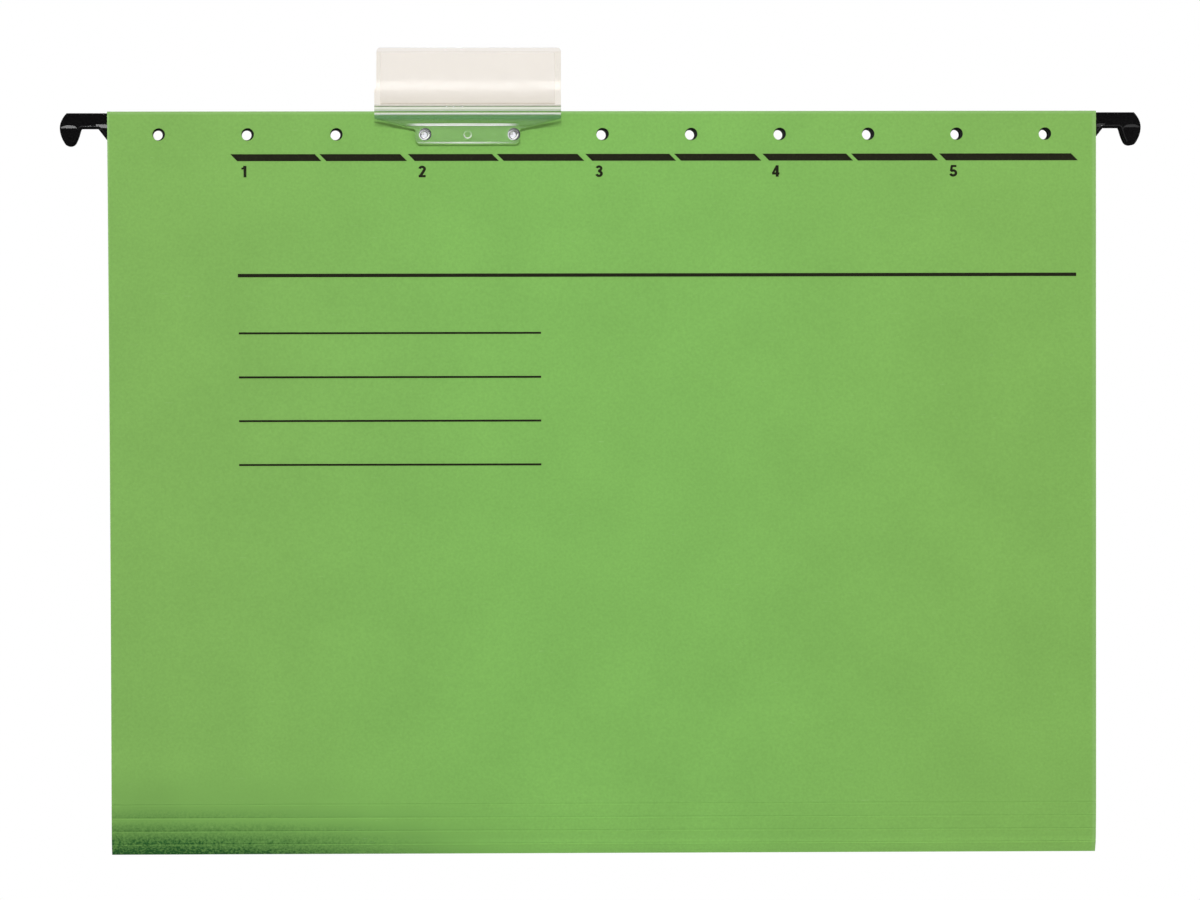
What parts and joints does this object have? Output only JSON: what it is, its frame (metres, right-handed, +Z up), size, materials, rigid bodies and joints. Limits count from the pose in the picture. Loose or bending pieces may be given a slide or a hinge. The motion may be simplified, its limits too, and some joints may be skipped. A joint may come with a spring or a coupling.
{
  "type": "hanging file folder",
  "caption": "Green card suspension file that hangs from two hooked rails, with a punched top edge, creased expanding base and a clear plug-in index tab.",
  "frame": {"origin": "midway between the four hook seats, where the hooks rest on the frame bars", "axes": "+X along the rails, to the right as seen from the front; +Y from the front cover to the back cover; +Z up"},
  "size_m": [0.381, 0.0149, 0.2836],
  "materials": {
    "green_card": "uncoated recycled card, matt, fine mottle",
    "black_steel": "black lacquer, semi-gloss",
    "black_moulding": "black moulded plastic, glossy",
    "clear_plastic": "clear moulded plastic, glossy",
    "label_paper": "plain off-white paper",
    "printing_ink": "flat dark green-black offset ink soaked into the card"
  },
  "bodies": {
    "back_half": {"back_cover": "green_card", "back_rail": "black_steel", "back_hook_left": "black_moulding", "back_hook_right": "black_moulding"},
    "back_strip_1": {"back_base_strip_1": "green_card"},
    "back_strip_2": {"back_base_strip_2": "green_card"},
    "back_strip_3": {"back_base_strip_3": "green_card"},
    "back_strip_4": {"back_base_strip_4": "green_card"},
    "front_strip_1": {"front_base_strip_1": "green_card"},
    "front_strip_2": {"front_base_strip_2": "green_card"},
    "front_strip_3": {"front_base_strip_3": "green_card"},
    "front_strip_4": {"front_base_strip_4": "green_card"},
    "front_half": {"front_cover": "green_card", "front_rail": "black_steel", "front_hook_left": "black_moulding", "front_hook_right": "black_moulding"},
    "tab": {"index_tab": "clear_plastic"},
    "label": {"label_insert": "label_paper"}
  },
  "joints": [
    {"name": "back_cover_crease", "type": "hinge", "parent": "back_half", "child": "back_strip_1", "pos_m": [0, 0.00453, -0.23815], "axis": [1, 0, 0], "range_deg": [0, 90]},
    {"name": "base_spread", "type": "slide", "parent": "back_strip_1", "child": "front_strip_1", "axis": [0, -1, 0], "range_m": [0, 0.01306]},
    {"name": "front_cover_crease", "type": "hinge", "parent": "front_strip_1", "child": "front_half", "pos_m": [0, -0.00453, -0.23815], "axis": [1, 0, 0], "range_deg": [0, 90]},
    {"name": "back_crease_2", "type": "hinge", "parent": "back_strip_1", "child": "back_strip_2", "pos_m": [0, 0.00428, -0.24284], "axis": [1, 0, 0], "range_deg": [-26.02, 0]},
    {"name": "back_crease_3", "type": "hinge", "parent": "back_strip_2", "child": "back_strip_3", "pos_m": [0, 0.00379, -0.24752], "axis": [1, 0, 0], "range_deg": [-18.02, 0]},
    {"name": "back_crease_4", "type": "hinge", "parent": "back_strip_3", "child": "back_strip_4", "pos_m": [0, 0.00297, -0.25215], "axis": [1, 0, 0], "range_deg": [0, 9.24]},
    {"name": "front_crease_2", "type": "hinge", "parent": "front_strip_1", "child": "front_strip_2", "pos_m": [0, -0.00428, -0.24284], "axis": [1, 0, 0], "range_deg": [0, 26.02]},
    {"name": "front_crease_3", "type": "hinge", "parent": "front_strip_2", "child": "front_strip_3", "pos_m": [0, -0.00379, -0.24752], "axis": [1, 0, 0], "range_deg": [0, 18.02]},
    {"name": "front_crease_4", "type": "hinge", "parent": "front_strip_3", "child": "front_strip_4", "pos_m": [0, -0.00297, -0.25215], "axis": [1, 0, 0], "range_deg": [-9.24, 0]},
    {"name": "index_tab_pull", "type": "slide", "parent": "front_half", "child": "tab", "axis": [0, -1, 0], "range_m": [0, 0.012]},
    {"name": "label_slide", "type": "slide", "parent": "tab", "child": "label", "axis": [1, 0, 0], "range_m": [0, 0.063]}
  ],
  "couplings": [
    {"joint": "back_crease_2", "follows": "base_spread", "rad_per_m": -34.736},
    {"joint": "back_crease_3", "follows": "base_spread", "rad_per_m": -24.048},
    {"joint": "back_crease_4", "follows": "base_spread", "rad_per_m": 12.313},
    {"joint": "front_crease_2", "follows": "base_spread", "rad_per_m": 34.736},
    {"joint": "front_crease_3", "follows": "base_spread", "rad_per_m": 24.048},
    {"joint": "front_crease_4", "follows": "base_spread", "rad_per_m": -12.313}
  ]
}
